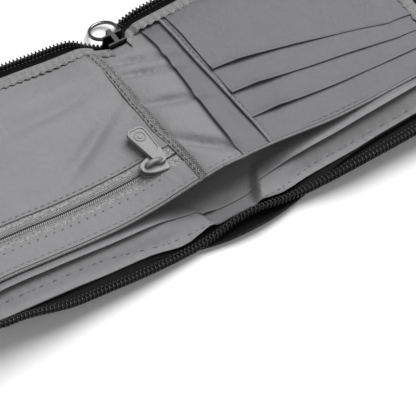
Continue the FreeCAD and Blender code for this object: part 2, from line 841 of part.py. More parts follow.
def export():
    """Checks every object, then writes each sub-part to its own file."""
    doc.recompute()
    for piece in doc.Objects:
        if "Invalid" in piece.State or "Error" in piece.State:
            raise RuntimeError(f"{piece.Name} failed: {piece.State}")
    os.makedirs("parts", exist_ok=True)
    for piece in subparts:
        shape = piece.Shape
        if shape.isNull() or not shape.isValid():
            raise RuntimeError(f"{piece.Label} has no valid shape")
        shape.exportStep(f"parts/{piece.Label}.step")
    print(f"{len(subparts)} sub-parts written")


outer_shell()
main_zipper()
bill_compartment()
slack_over_spine()
inner_panels()
coin_pocket()
card_pockets()
coin_slider()
main_slider()
export()
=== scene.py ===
import math

import bpy
import numpy as np
from mathutils import Matrix, Vector


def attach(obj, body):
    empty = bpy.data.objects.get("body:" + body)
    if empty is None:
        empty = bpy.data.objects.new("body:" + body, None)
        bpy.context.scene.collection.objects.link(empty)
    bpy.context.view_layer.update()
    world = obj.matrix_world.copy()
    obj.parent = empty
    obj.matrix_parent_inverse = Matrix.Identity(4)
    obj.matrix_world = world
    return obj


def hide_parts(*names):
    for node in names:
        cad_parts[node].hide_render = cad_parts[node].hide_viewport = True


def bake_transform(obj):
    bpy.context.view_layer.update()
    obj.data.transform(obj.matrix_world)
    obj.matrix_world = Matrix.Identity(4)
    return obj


# The looks of a zip-round bifold wallet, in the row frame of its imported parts.
# Shapes are worked out in millimetres on the wallet laid flat: a runs across from the spine's centre, b to
# the far side, and h is the height. place() turns each half up to its resting angle and gives metres.

MM = 0.001
REACH = 116.0
HALF_DEPTH = 47.5
COVER_CORNER = 12.0
HINGE_A = 10.0
HINGE_H = 2.2
REST_ANGLE = {-1: math.radians(8.0), 1: math.radians(5.0)}
SPINE_FAR = 40.5
RING_PIVOT = (0.0, 46.85, 5.8)
RING_RADIUS = 5.7
RING_WIRE = 0.78
RING_TILT = math.radians(-20)

COIL_PITCH = 1.7
COIL_OUT = 5.9
COIL_HEIGHT = 2.2
TAPE_ROOT = -3.5
LINING_END = 114.0
LINING_CORNER = 10.0
PANEL_END = 113.5
POCKET_END = 113.3
PANEL_EDGE = -35.5
DIVIDER_EDGE = -38.0
PANEL_REST_H = 7.3
SIDES = ((-1, "left"), (1, "right"))
HALF_OF = {-1: "left_half", 1: "right_half"}

# Thickness of each cloth and radius of each cord or thread.
COVER_THICK = 0.75
LINING_THICK = 0.5
DIVIDER_THICK = 0.4
PANEL_THICK = 0.5
POCKET_THICK = 0.35
BOARD_THICK = 0.6
TAPE_THICK = 0.45
BINDING_THICK = 0.35
PIPING_RADIUS = 0.55
GROOVE_RADIUS = 0.16
STITCH_RADIUS = 0.17
STITCH_PITCH = 2.9
STITCH_LENGTH = 1.9


# ---- shape helpers
def smooth(t):
    t = np.clip(t, 0.0, 1.0)
    return t * t * (3.0 - 2.0 * t)


def hump(t):
    return np.exp(-t * t)


def by_side(a, values):
    return np.where(np.asarray(a) < 0, values[-1], values[1])


def place(a, b, h):
    """Flat wallet to row frame: each half turns up about its fold line, over a short bend."""
    a, b, h = np.broadcast_arrays(np.asarray(a, float), np.asarray(b, float), np.asarray(h, float))
    side = np.where(a < 0, -1.0, 1.0)
    across = np.abs(a)
    angle = by_side(a, REST_ANGLE)
    share = smooth((across - 6.0) / 8.0)
    turned_x = HINGE_A + (across - HINGE_A) * np.cos(angle) - (h - HINGE_H) * np.sin(angle)
    turned_z = HINGE_H + (across - HINGE_A) * np.sin(angle) + (h - HINGE_H) * np.cos(angle)
    x = side * (across + share * (turned_x - across))
    z = h + share * (turned_z - h)
    return np.stack([x, b, z], -1) * MM


def ripple(a, b, size):
    """Soft uneven waviness of cloth, the same each time."""
    waves = (
        (0.11, 0.05, 0.4, 1.0),
        (-0.07, 0.16, 1.7, 0.8),
        (0.19, -0.12, 2.9, 0.55),
        (0.05, 0.31, 0.8, 0.35),
        (0.33, 0.09, 4.1, 0.3),
    )
    total = 0.0
    for along, across, start, strength in waves:
        total = total + strength * np.sin(along * a + across * b + start + 0.7 * np.sin(0.03 * a - 0.05 * b))
    return size * total


def pucker(a, distance, size, pitch=5.2):
    """Small gathers along a row of stitches, fading away from it."""
    return size * np.sin(2 * math.pi * a / pitch + np.sin(a * 0.21)) * hump(distance / 3.2)


def cover_half_depth(a):
    over = np.clip(np.abs(a) - (REACH - COVER_CORNER), 0, COVER_CORNER)
    return HALF_DEPTH - COVER_CORNER + np.sqrt(COVER_CORNER**2 - over**2)


def far_recess(a):
    """The spine's far end stands back from the halves' far edges."""
    across = np.where(a < 0, (-a - 2.0) / 15.0, (a - 2.5) / 6.5)
    return (HALF_DEPTH - SPINE_FAR) * (1 - smooth(across))


# ---- heights of the cloth layers
def near_coil_shift(a):
    """How far the near coil stands off its flat place: towards the far side, and up."""
    back = 2.3 * hump((a - 2) / 17) - 0.4 * hump((a + 46) / 16)
    back = back + 2.1 * smooth((-a - 75) / 25) - 2.4 * smooth((a - 18) / 40)
    up = 4.8 * hump((a - 4) / 19) + 1.2 * hump((a - 45) / 25)
    up = up + 4.0 * smooth((-a - 68) / 40) + 4.4 * smooth((a - 18) / 40)
    return back, up


def lining_edge(a):
    return -47.9 - 2.3 * hump((a + 26) / 10) - 1.8 * hump((a - 20) / 10)


def lining_height(a, b):
    across = np.abs(a)
    base = 1.3 + 0.7 * smooth((across - 8) / 6)
    edge = 0.6 + 0.9 * smooth((-a - 55) / 30) + 2.7 * hump((a - 4) / 20)
    edge = edge * np.exp(-np.clip(b + 48, 0, None) / 3.5)
    lobe = 7.5 + 0.45 * np.clip(b + 48, 0, 16)
    left = 3.6 * smooth((-a - lobe) / 4.5) * hump(np.clip(-a - 14, 0, None) / 13) * hump((b + 43) / 7)
    right = 5.0 * smooth((a - lobe) / 4.5) * hump(np.clip(a - 12, 0, None) / 15) * hump((b + 42) / 8)
    full = 3.3 * smooth((across - 16) / 16) * smooth((b + 47.5) / 8) * hump(np.clip(b + 37, 0, None) / 12)
    full = full * smooth((112 - across) / 14)
    return base + edge + left + right + full + 0.5 * ripple(a, b, 0.25)


def seam_drop(a, b):
    """The layers come together at the far and outer seams."""
    far = 1 - smooth((HALF_DEPTH - b) / 20)
    outer = 1 - smooth((114 - np.abs(a)) / 16)
    return np.maximum(far, outer)


def divider_height(a, b):
    sag = 4.3 * hump(a / 38) * smooth((30 - b) / 50)
    return 6.6 - sag - 3.8 * seam_drop(a, b) + 0.6 * ripple(a, b, 0.25)


def panel_lift(a, b):
    """The inner panel stands up over the spine, most at its near edge."""
    open_share = np.clip((HALF_DEPTH - b) / 83, 0, 1)
    reach = 28.0 + 18.0 * smooth((a + 8) / 24)
    return 14.5 * hump(a / reach) * open_share**0.8


def panel_height(a, b):
    slack = b + 0.35 * a
    folds = hump((slack - 30) / 2.0) + 0.9 * hump((slack - 22) / 1.8) + 1.1 * hump((slack - 4) / 2.5)
    folds = folds + 1.2 * hump((b + 21 + 0.9 * a) / 3.2) * smooth((b + 35) / 9)
    folds = -2.6 * folds * hump((a - 2) / 12)
    return PANEL_REST_H - 3.2 * seam_drop(a, b) + panel_lift(a, b) + folds + 0.5 * ripple(a, b, 0.3)


# ---- mesh helpers
def new_object(name, points, faces, uv=None, smooth_angle=40.0):
    mesh = bpy.data.meshes.new(name)
    mesh.from_pydata([tuple(p) for p in points], [], faces)
    mesh.validate()
    if uv is not None:
        layer = mesh.uv_layers.new(name="flat")
        corner = np.empty(len(mesh.loops), np.int64)
        mesh.loops.foreach_get("vertex_index", corner)
        layer.data.foreach_set("uv", np.asarray(uv, np.float32)[corner].ravel())
    mesh.shade_smooth()
    mesh.set_sharp_from_angle(angle=math.radians(smooth_angle))
    mesh.update()
    made = bpy.data.objects.new(name, mesh)
    bpy.context.scene.collection.objects.link(made)
    return made


def finish(made, material, bodies, replaces=()):
    """Material, the body or bodies that the piece follows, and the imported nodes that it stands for."""
    made.data.materials.clear()
    made.data.materials.append(material)
    if len(bodies) == 1:
        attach(made, bodies[0])
    else:
        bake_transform(made)
    if replaces:
        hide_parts(*replaces)
    return made


def sheet_faces(n, m):
    """Faces of a closed sheet whose points are a top grid and then a bottom grid, n by m each."""
    top = np.arange(n * m).reshape(n, m)
    low = top + n * m
    faces = []
    for i in range(n - 1):
        for j in range(m - 1):
            faces.append((top[i, j], top[i + 1, j], top[i + 1, j + 1], top[i, j + 1]))
            faces.append((low[i, j], low[i, j + 1], low[i + 1, j + 1], low[i + 1, j]))
    rim = [(i, 0) for i in range(n)] + [(n - 1, j) for j in range(1, m)]
    rim += [(i, m - 1) for i in range(n - 2, -1, -1)] + [(0, j) for j in range(m - 2, 0, -1)]
    for k, here in enumerate(rim):
        after = rim[(k + 1) % len(rim)]
        faces.append((top[here], low[here], low[after], top[after]))
    return [tuple(int(v) for v in f) for f in faces]


def sheet_mesh(name, a, b, h, thick):
    """A closed sheet of cloth, from its top on the flat wallet as grids in which a and b both grow."""
    a, b, h = np.broadcast_arrays(np.asarray(a, float), b, h)
    top = place(a, b, h)
    normal = np.cross(np.gradient(top, axis=0), np.gradient(top, axis=1))
    normal /= np.linalg.norm(normal, axis=-1, keepdims=True) + 1e-12
    low = top - normal * thick * MM
    uv = np.stack([a, b], -1).reshape(-1, 2)
    points = np.concatenate([top.reshape(-1, 3), low.reshape(-1, 3)])
    return new_object(name, points, sheet_faces(*a.shape), np.concatenate([uv, uv]))


def spread(low, high, step):
    return np.linspace(low, high, max(2, int(math.ceil(abs(high - low) / step)) + 1))


def grid(a_values, b_values):
    return np.meshgrid(a_values, b_values, indexing="ij")


def lengths(points):
    return np.concatenate([[0], np.cumsum(np.linalg.norm(np.diff(points, axis=0), axis=1))])


def along(points, where):
    """Points and directions at given distances along a line of points."""
    run = lengths(points)
    at = np.stack([np.interp(where, run, points[:, k]) for k in range(3)], 1)
    ahead = np.stack([np.interp(where + 1e-4, run, points[:, k]) for k in range(3)], 1)
    behind = np.stack([np.interp(where - 1e-4, run, points[:, k]) for k in range(3)], 1)
    direction = ahead - behind
    direction /= np.linalg.norm(direction, axis=1, keepdims=True) + 1e-12
    return at, direction


def frames(direction, up=(0, 0, 1)):
    side = np.cross(direction, np.asarray(up, float))
    side /= np.linalg.norm(side, axis=1, keepdims=True) + 1e-12
    return side, np.cross(side, direction)


def tube_points(centre, side, up, radius, sides):
    turn = np.linspace(0, 2 * math.pi, sides, endpoint=False)
    ring = np.cos(turn)[None, :, None] * side[:, None, :] + np.sin(turn)[None, :, None] * up[:, None, :]
    return centre[:, None, :] + ring * np.reshape(radius, (-1, 1, 1))


def tube_faces(n, sides, first=0):
    faces = []
    for i in range(n - 1):
        for j in range(sides):
            k = (j + 1) % sides
            here = first + i * sides
            after = here + sides
            faces.append((here + j, here + k, after + k, after + j))
    faces.append(tuple(first + j for j in reversed(range(sides))))
    faces.append(tuple(first + (n - 1) * sides + j for j in range(sides)))
    return faces


def cord_mesh(name, points, radius, sides=10, step=1.0):
    """A round cord along a line of points in the row frame."""
    where = spread(0, lengths(points)[-1], step * MM)
    centre, direction = along(points, where)
    side, up = frames(direction)
    size = np.full(len(where), radius * MM)
    size[0] = size[-1] = 0.55 * radius * MM
    rings = tube_points(centre, side, up, size, sides)
    run = np.repeat(where[:, None] / MM, sides, 1)
    around = np.repeat(np.linspace(0, 5 * radius, sides)[None, :], len(where), 0)
    uv = np.stack([run, around], -1).reshape(-1, 2)
    return new_object(name, rings.reshape(-1, 3), tube_faces(len(where), sides), uv, 60)


def coil_mesh(name, points, width, height, wire, pitch, tilt, per_loop=14, sides=6):
    """A flattened coil along a line of points, its loops tilted by the angle at each point."""
    length = lengths(points)[-1]
    turns = int(length / (pitch * MM))
    where = np.linspace(0, length, turns * per_loop + 1)
    centre, direction = along(points, where)
    side, up = frames(direction)
    turn = 2 * math.pi * np.arange(len(where)) / per_loop
    lean = np.interp(np.linspace(0, 1, len(where)), np.linspace(0, 1, len(tilt)), tilt)
    flat_side = side * np.cos(lean)[:, None] + up * np.sin(lean)[:, None]
    flat_up = -side * np.sin(lean)[:, None] + up * np.cos(lean)[:, None]
    wide, high = (width / 2 - wire) * MM, (height / 2 - wire) * MM
    line = centre + flat_side * (wide * np.cos(turn))[:, None] + flat_up * (high * np.sin(turn))[:, None]
    course = np.gradient(line, axis=0)
    course /= np.linalg.norm(course, axis=1, keepdims=True)
    across, over = frames(course, (0.13, 0.21, 0.97))
    rings = tube_points(line, across, over, wire * MM, sides)
    return new_object(name, rings.reshape(-1, 3), tube_faces(len(line), sides), None, 80)


def dash_mesh(name, points, pitch, length, radius, lift=0.0, cross=0.0, flat=0.75):
    """A row of short rounded dashes along a line of points, as stitches and the teeth of a fine coil, and
    also as painted shade in a chain's gaps.
    """
    rings_across = np.array([0.25, 0.75, 1.0, 1.0, 0.75, 0.25])
    rings_along = np.array([-0.5, -0.42, -0.25, 0.25, 0.42, 0.5])
    sides = 6
    count = int(lengths(points)[-1] / (pitch * MM))
    where = (np.arange(count) + 0.5) * pitch * MM
    centre, direction = along(points, where)
    side, up = frames(direction)
    turned = direction * math.cos(cross) + side * math.sin(cross)
    side, up = frames(turned)
    all_points, faces = [], []
    turn = np.linspace(0, 2 * math.pi, sides, endpoint=False)
    for k in range(count):
        middle = centre[k] + up[k] * lift * MM
        for place_along, size in zip(rings_along, rings_across):
            for t in turn:
                out = side[k] * math.cos(t) + up[k] * math.sin(t) * flat
                all_points.append(middle + turned[k] * place_along * length * MM + out * size * radius * MM)
        faces += tube_faces(len(rings_along), sides, k * len(rings_along) * sides)
    return new_object(name, all_points, faces, None, 80)


# ---- materials
def node(tree, kind, **values):
    made = tree.nodes.new(kind)
    for key, value in values.items():
        if key in made.inputs:
            made.inputs[key].default_value = value
        else:
            setattr(made, key, value)
    return made


def new_material(name, colour, roughness, sheen=0.0, metallic=0.0, coat=0.0, specular=0.5):
    material = bpy.data.materials.new(name)
    material.use_nodes = True
    shader = material.node_tree.nodes["Principled BSDF"]
    shader.inputs["Base Color"].default_value = (*colour, 1)
    shader.inputs["Roughness"].default_value = roughness
    shader.inputs["Metallic"].default_value = metallic
    shader.inputs["Sheen Weight"].default_value = sheen
    shader.inputs["Sheen Roughness"].default_value = 0.4
    shader.inputs["Coat Weight"].default_value = coat
    shader.inputs["Specular IOR Level"].default_value = specular
    return material, material.node_tree, shader


def tint(tree, shader, colour, factor, spread_share):
    """Varies the base colour a little with a factor. Inputs 6 and 7 of a colour mix are its two colours."""
    mix = node(tree, "ShaderNodeMix", data_type="RGBA")
    mix.inputs[6].default_value = (*[c * (1 - spread_share) for c in colour], 1)
    mix.inputs[7].default_value = (*[c * (1 + spread_share) for c in colour], 1)
    tree.links.new(factor, mix.inputs[0])
    tree.links.new(mix.outputs[2], shader.inputs["Base Color"])


def cloth_material(
    name, colour, roughness, sheen, thread, weave, crease, specular=0.4, vary=0.06, flecked=False
):
    """Woven cloth with threads both ways, creases and a change of tone, mapped in flat millimetres."""
    material, tree, shader = new_material(name, colour, roughness, sheen, specular=specular)
    links = tree.links
    flat = node(tree, "ShaderNodeUVMap", uv_map="flat")
    split = node(tree, "ShaderNodeSeparateXYZ")
    links.new(flat.outputs[0], split.inputs[0])
    threads = []
    for axis in (0, 1):
        turn = node(tree, "ShaderNodeMath", operation="MULTIPLY")
        turn.inputs[1].default_value = 2 * math.pi / thread
        wave = node(tree, "ShaderNodeMath", operation="SINE")
        links.new(split.outputs[axis], turn.inputs[0])
        links.new(turn.outputs[0], wave.inputs[0])
        threads.append(wave)
    woven = node(tree, "ShaderNodeMath", operation="MULTIPLY")
    links.new(threads[0].outputs[0], woven.inputs[0])
    links.new(threads[1].outputs[0], woven.inputs[1])
    fine = node(tree, "ShaderNodeTexNoise", Scale=0.16, Detail=5.0, Roughness=0.6, Distortion=0.6)
    links.new(flat.outputs[0], fine.inputs["Vector"])
    bump_weave = node(tree, "ShaderNodeBump", Strength=weave, Distance=0.00012)
    bump_crease = node(tree, "ShaderNodeBump", Strength=crease, Distance=0.0012)
    links.new(woven.outputs[0], bump_weave.inputs["Height"])
    links.new(fine.outputs["Fac"], bump_crease.inputs["Height"])
    links.new(bump_crease.outputs[0], bump_weave.inputs["Normal"])
    links.new(bump_weave.outputs[0], shader.inputs["Normal"])
    if flecked:
        fleck = node(tree, "ShaderNodeTexNoise", Scale=0.8, Detail=1.0, Roughness=0.6)
        contrast = node(tree, "ShaderNodeMapRange")
        contrast.inputs["From Min"].default_value = 0.38
        contrast.inputs["From Max"].default_value = 0.62
        links.new(flat.outputs[0], fleck.inputs["Vector"])
        links.new(fleck.outputs["Fac"], contrast.inputs["Value"])
        tint(tree, shader, colour, contrast.outputs["Result"], vary)
    else:
        slow = node(tree, "ShaderNodeTexNoise", Scale=0.045, Detail=4.0, Roughness=0.55)
        links.new(flat.outputs[0], slow.inputs["Vector"])
        tint(tree, shader, colour, slow.outputs["Fac"], vary)
    return material


def hard_material(name, colour, roughness, metallic=0.0, coat=0.0, specular=0.5, grain=0.1, scale=900.0):
    """Paint, plastic or metal with fine grain and a slight change of tone. Its coordinates are metres."""
    material, tree, shader = new_material(name, colour, roughness, 0.0, metallic, coat, specular)
    links = tree.links
    where = node(tree, "ShaderNodeTexCoord")
    noise = node(tree, "ShaderNodeTexNoise", Scale=scale, Detail=3.0, Roughness=0.5)
    links.new(where.outputs["Object"], noise.inputs["Vector"])
    bump = node(tree, "ShaderNodeBump", Strength=grain, Distance=0.0001)
    links.new(noise.outputs["Fac"], bump.inputs["Height"])
    links.new(bump.outputs[0], shader.inputs["Normal"])
    tint(tree, shader, colour, noise.outputs["Fac"], 0.1)
    return material


def grey(value):
    return (value, value, value * 1.015)


# ---- outlines
def outline(side, out, near_start, far_start):
    """One half's outline moved out by a distance, from the near end of the spine round to its far end."""
    straight = REACH - COVER_CORNER
    radius = COVER_CORNER + out
    inner = HALF_DEPTH - COVER_CORNER
    turn = np.linspace(0, math.pi / 2, 26)[1:-1]
    parts = [
        np.stack([np.linspace(near_start, straight, 180), np.full(180, -HALF_DEPTH - out)], 1),
        np.stack([straight + radius * np.sin(turn), -inner - radius * np.cos(turn)], 1),
        np.stack([np.full(90, REACH + out), np.linspace(-inner, inner, 90)], 1),
        np.stack([straight + radius * np.cos(turn), inner + radius * np.sin(turn)], 1),
        np.stack([np.linspace(straight, far_start, 180), np.full(180, HALF_DEPTH + out)], 1),
    ]
    line = np.concatenate(parts)
    line[:, 0] *= side
    return line


def far_dip(a):
    """The chain runs in to the slider at the far end of the spine."""
    return -8.5 * np.where(a < 0, hump(a / 10), 1 - smooth((a - 2.0) / 7))


def coil_line(side, near_start=0.0, far_start=0.0):
    """The centre of one half's coil on the flat wallet."""
    line = outline(side, COIL_OUT, near_start, far_start)
    a, b = line[:, 0], line[:, 1]
    near = smooth((-b - 36) / 12)
    back, up = near_coil_shift(a)
    far = smooth((b - 36) / 12)
    end_up = 4.0 * smooth((-a - 68) / 40) * (1 - near) * (side < 0)
    far_up = 2.6 * smooth((np.abs(a) - 6) / 12) * far
    return a, b + near * back + far * far_dip(a), COIL_HEIGHT + near * up + end_up + far_up


# ---- start
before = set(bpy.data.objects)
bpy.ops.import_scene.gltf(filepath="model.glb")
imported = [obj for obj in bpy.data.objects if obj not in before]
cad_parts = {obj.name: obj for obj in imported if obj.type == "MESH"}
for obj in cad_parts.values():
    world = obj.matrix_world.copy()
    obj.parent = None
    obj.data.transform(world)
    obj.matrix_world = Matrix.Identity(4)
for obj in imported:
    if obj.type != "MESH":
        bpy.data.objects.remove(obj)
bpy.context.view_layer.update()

LINING = cloth_material("grey_coated_nylon", (0.2, 0.2, 0.206), 0.42, 0.08, 0.42, 0.35, 0.5)
# The card pockets' cloth is the lining's cloth given a darker grey.
POCKET = cloth_material("grey_pocket_nylon", (0.135, 0.134, 0.145), 0.4, 0.08, 0.42, 0.35, 0.6)
BINDING = cloth_material("grey_binding_tape", grey(0.19), 0.6, 0.1, 1.2, 0.8, 0.2, vary=0.12, flecked=True)
COIN_TAPE = cloth_material("grey_zipper_tape", grey(0.24), 0.7, 0.1, 1.5, 1.0, 0.1, vary=0.26, flecked=True)
STRIP = cloth_material("grey_seam_tape", grey(0.16), 0.65, 0.1, 1.4, 1.0, 0.3, vary=0.22, flecked=True)
OUTER = cloth_material("black_outer_nylon", grey(0.007), 0.65, 0.02, 0.9, 1.0, 0.3, specular=0.15)
TAPE = cloth_material("black_zipper_tape", grey(0.006), 0.65, 0.02, 0.9, 1.0, 0.15, specular=0.15)
COIL = hard_material("black_nylon_coil", grey(0.01), 0.36, specular=0.4)
THREAD = hard_material("grey_thread", grey(0.15), 0.8, grain=0.4, scale=3000)
SOFT_THREAD = hard_material("mid_grey_thread", grey(0.09), 0.85, grain=0.4, scale=3000)
# Near-black thread. Its darkness partly stands for the shade in the stitch holes, and it also serves as
# painted shade in a groove and in gaps.
DARK_THREAD_AND_SHADE = hard_material("dark_thread_and_painted_shade", grey(0.035), 0.85, grain=0.4, scale=3000)
BLACK_THREAD = hard_material("black_thread", grey(0.01), 0.8, grain=0.4, scale=3000)
COIN_COIL = hard_material("grey_nylon_coil", grey(0.25), 0.5)
PAINT = hard_material("grey_satin_paint", (0.165, 0.165, 0.168), 0.42, coat=0.15, grain=0.12)
SLIDER_METAL = hard_material("gunmetal_slider", (0.045, 0.045, 0.048), 0.5, metallic=1.0, grain=0.1)
METAL = hard_material("gunmetal_plate", (0.2, 0.2, 0.205), 0.22, metallic=1.0, grain=0.05)
BOARD = hard_material("plain_board", grey(0.05), 0.8, scale=400)
COIL_THREAD = hard_material("coil_sewing_thread", grey(0.03), 0.4, grain=0.3, scale=3000)


# ---- outer shell
def across_values(side, start, end, step):
    """Places across one half, growing towards +a as sheet_mesh() needs."""
    return np.sort(side * spread(start, end, step))


def both_bodies(side):
    """The bodies of a sheet that crosses from the spine to one half."""
    return ("spine", HALF_OF[side])


def cover_edge_out(a):
    """How far the cover's near edge stands out past the half, most at the spine."""
    return 1.2 + 8.3 * hump((a - 4) / 36)


def build_cover(side, word):
    straight = REACH - COVER_CORNER
    corner = COVER_CORNER * np.sin(np.linspace(0, math.pi / 2, 14))[1:]
    a_values = np.sort(side * np.concatenate([spread(0, straight, 1.6), straight + corner]))
    lip = np.linspace(1, 0, 9)[:-1]
    flat_count = 62
    flat_h = 0.8
    rows = []
    for a in a_values:
        depth = cover_half_depth(a)
        near = float(cover_edge_out(a)) if depth > HALF_DEPTH - 0.01 else 1.2 * (depth / HALF_DEPTH)
        up = float(near_coil_shift(a)[1]) * 0.75 * (1 if a > -60 else 0)
        lip_b = -depth - near * np.sin(lip * math.pi / 2) + 0.8 * lip**3
        lip_h = flat_h + up * (1 - np.cos(lip * math.pi / 2))
        flat_b = np.linspace(-depth, depth - float(far_recess(a)), flat_count)
        rows.append((np.concatenate([lip_b, flat_b]), np.concatenate([lip_h, np.full(flat_count, flat_h)])))
    b = np.array([r[0] for r in rows])
    h = np.array([r[1] for r in rows])
    a = np.repeat(a_values[:, None], b.shape[1], 1)
    h = h + ripple(a, b, 0.08)
    cover = sheet_mesh(f"cover_cloth_{word}", a, b, h, COVER_THICK)
    names = [f"cover_{word}"] + (["cover_spine"] if side < 0 else [])
    finish(cover, OUTER, both_bodies(side), names)


def build_lining(side, word):
    a_values = across_values(side, 0, LINING_END, 1.0)
    share = np.concatenate([np.linspace(0, 0.2, 34)[:-1], np.linspace(0.2, 1, 66)])
    a = np.repeat(a_values[:, None], len(share), 1)
    over = np.clip(np.abs(a) - (LINING_END - LINING_CORNER), 0, LINING_CORNER - 0.01)
    round_off = LINING_CORNER - np.sqrt(LINING_CORNER**2 - over**2)
    far = HALF_DEPTH - round_off - far_recess(a)
    near = lining_edge(a) + round_off
    b = near + (far - near) * share[None, :]
    row = stitch_row_b(a)
    h = lining_height(a, b) + pucker(a, b - row, 0.16)
    lining = sheet_mesh(f"lining_cloth_{word}", a, b, h, LINING_THICK)
    names = [f"bill_lining_{word}"] + (["bill_lining_spine"] if side < 0 else [])
    finish(lining, LINING, both_bodies(side), names)


def stitch_row_b(a):
    """The row of stitches beside the lining's near border."""
    left = -42.6 - 5.0 * smooth((a + 62) / 42)
    right = -44.9 - 3.6 * (1 - smooth((a - 16) / 22))
    return np.where(a < 0, left, right)


def build_lining_stitches(side, word):
    a = side * spread(12, 110, 1.0)
    b = stitch_row_b(a)
    line = place(a, b, lining_height(a, b) + 0.02)
    sew(f"lining_sewing_{word}", line, SOFT_THREAD, both_bodies(side), STITCH_PITCH, 1.8, 0.14)


def build_board(side, word):
    a, b = grid(across_values(side, 12, 109, 4), spread(-41, 41, 4))
    board = sheet_mesh(f"board_sheet_{word}", a, b, np.full_like(a, 1.5), BOARD_THICK)
    finish(board, BOARD, (HALF_OF[side],), [f"stiffener_{word}"])


def sew(name, line, thread, bodies, pitch=STITCH_PITCH, length=STITCH_LENGTH, radius=STITCH_RADIUS):
    """A row of stitches along a line."""
    finish(dash_mesh(name, line, pitch, length, radius), thread, bodies)


# ---- main zipper
def build_main_tape(side, word):
    ka, kb, kh = [values[::2, None] for values in coil_line(side)]
    root = outline(side, TAPE_ROOT, 0, 0)[::2]
    ra = root[:, :1]
    rb = root[:, 1:] - far_recess(root[:, :1]) * (root[:, 1:] > 0)
    share = np.linspace(0, 1.1, 14)
    a = ra + (ka - ra) * share
    b = rb + (kb - rb) * share
    near_rise = np.clip(share, 0, 1) ** 1.8
    far_rise = np.clip((share - 0.45) / 0.55, 0, 1) ** 1.6
    rise = near_rise + (far_rise - near_rise) * smooth((rb + 10) / 30)
    root_h = 1.25
    under_coil = 0.95
    h = root_h + (kh - under_coil - root_h) * rise
    if side > 0:
        a, b, h = a[:, ::-1], b[:, ::-1], h[:, ::-1]
    tape = sheet_mesh(f"main_tape_cloth_{word}", a, b, h, TAPE_THICK)
    names = [f"main_tape_{word}"] + (["main_tape_spine_near"] if side < 0 else ["main_tape_spine_far"])
    finish(tape, TAPE, both_bodies(side), names)


def build_main_coil(side, word):
    """The coil, the cord inside it and the stitches that hold it on the tape."""
    near_start, far_start = 0.2, 3.2
    ka, kb, kh = coil_line(side, near_start, far_start)
    line = place(ka, kb, kh)
    lean = -0.25 - 0.5 * hump((ka - 3) / 22) * (kb < 0)
    coil = coil_mesh(f"main_coil_loops_{word}", line, 3.1, 2.0, 0.4, COIL_PITCH, side * lean)
    names = [f"main_coil_{word}", f"main_coil_spine_near_{word}", f"main_coil_spine_far_{word}"]
    finish(coil, COIL, both_bodies(side), names)
    core = cord_mesh(f"main_coil_core_{word}", line, 0.42, 6, 1.5)
    finish(core, BLACK_THREAD, both_bodies(side))
    root = outline(side, TAPE_ROOT, near_start, far_start)
    inner = place(ka + (root[:, 0] - ka) * 0.2, kb + (root[:, 1] - kb) * 0.2, kh - 0.15)
    sew(f"main_coil_sewing_{word}", inner, COIL_THREAD, both_bodies(side), COIL_PITCH, 0.9, 0.2)


def build_spine_stop():
    back, up = near_coil_shift(0.0)
    centre = place(0.0, -HALF_DEPTH - COIL_OUT + back, COIL_HEIGHT + up)
    line = np.stack([centre + np.array([x * MM, 0, 0]) for x in (-2.3, -1.0, 0, 1.0, 2.3)])
    line[:, 2] -= 1.7 * MM
    stop = cord_mesh("main_stop_block", line, 0.6, 12, 0.4)
    finish(stop, COIL, ("spine",), ["main_stop_near"])


# ---- bill compartment and inner panels
def build_divider(side, word):
    a_values = across_values(side, 0, PANEL_END, 1.3)
    a, share = grid(a_values, np.concatenate([np.linspace(0, 0.15, 16)[:-1], np.linspace(0.15, 1, 44)]))
    raised = 2.4 * smooth((a - 18) / 20) * smooth((112 - a) / 40) + 0.9 * smooth((-a - 20) / 25)
    near = DIVIDER_EDGE - 1.0 - 3.2 * hump((a - 2) / 20) - 0.6 * raised
    far = HALF_DEPTH - 0.4 - far_recess(a)
    b = near + (far - near) * share
    seam = 1.2 * hump((a + 9) / 3.0) * hump((b - near) / 7)
    roll = 0.3 * hump((b - near) / 1.0) - 0.3 * hump((b - near) / 0.3)
    roll = roll + 1.2 * smooth((PANEL_EDGE - 1.0 - b) / 2.0) * smooth((np.abs(a) - 22) / 20)
    roll = roll + raised * hump((b - near) / 9)
    h = np.maximum(divider_height(a, b) + seam, lining_height(a, b) + 0.7) + roll
    h = np.where(b > PANEL_EDGE, np.minimum(h, panel_height(a, b) - 0.65), h)
    divider = sheet_mesh(f"divider_cloth_{word}", a, b, h, DIVIDER_THICK)
    names = [f"bill_divider_{word}"] + (["bill_divider_spine"] if side < 0 else [])
    finish(divider, LINING, both_bodies(side), names)


def layer_top(side):
    """Height of the topmost layer over the inner panel, beside its near edge."""
    if side < 0:
        return lambda a: 1.5 * smooth((-a - 7.1) / 1.5)
    return lambda a: 0.4 * smooth((a - 11) / 2) + 0.4 * smooth((a - 22) / 1.5)


def build_panel(side, word):
    a_values = across_values(side, 0, PANEL_END, 1.1)
    a, share = grid(a_values, np.linspace(0, 1, 84))
    far = HALF_DEPTH - 0.4 - far_recess(a)
    b = PANEL_EDGE + (far - PANEL_EDGE) * share
    panel = sheet_mesh(f"panel_cloth_{word}", a, b, panel_height(a, b), PANEL_THICK)
    names = [f"inner_panel_{word}"] + (["inner_panel_spine"] if side < 0 else [])
    finish(panel, LINING, both_bodies(side), names)

    a = side * spread(0, 113, 1.0)
    top = layer_top(side)(a)
    line = place(a, PANEL_EDGE - 0.1, panel_height(a, PANEL_EDGE) + top * 0.75)
    piping = cord_mesh(f"panel_piping_cord_{word}", line, PIPING_RADIUS)
    finish(piping, BINDING, both_bodies(side), [f"panel_piping_{word}"])
    # A thin near-black cord in the groove behind the piping is painted shade.
    b = PANEL_EDGE + 0.5
    line = place(a, b, panel_height(a, b) + top + 0.05)
    groove = cord_mesh(f"panel_piping_groove_shade_{word}", line, GROOVE_RADIUS, 6, 1.5)
    finish(groove, DARK_THREAD_AND_SHADE, both_bodies(side))
    b = PANEL_EDGE + 2.2
    line = place(a, b, panel_height(a, b) + top + 0.02)
    sew(f"panel_piping_sewing_{word}", line, THREAD, both_bodies(side))


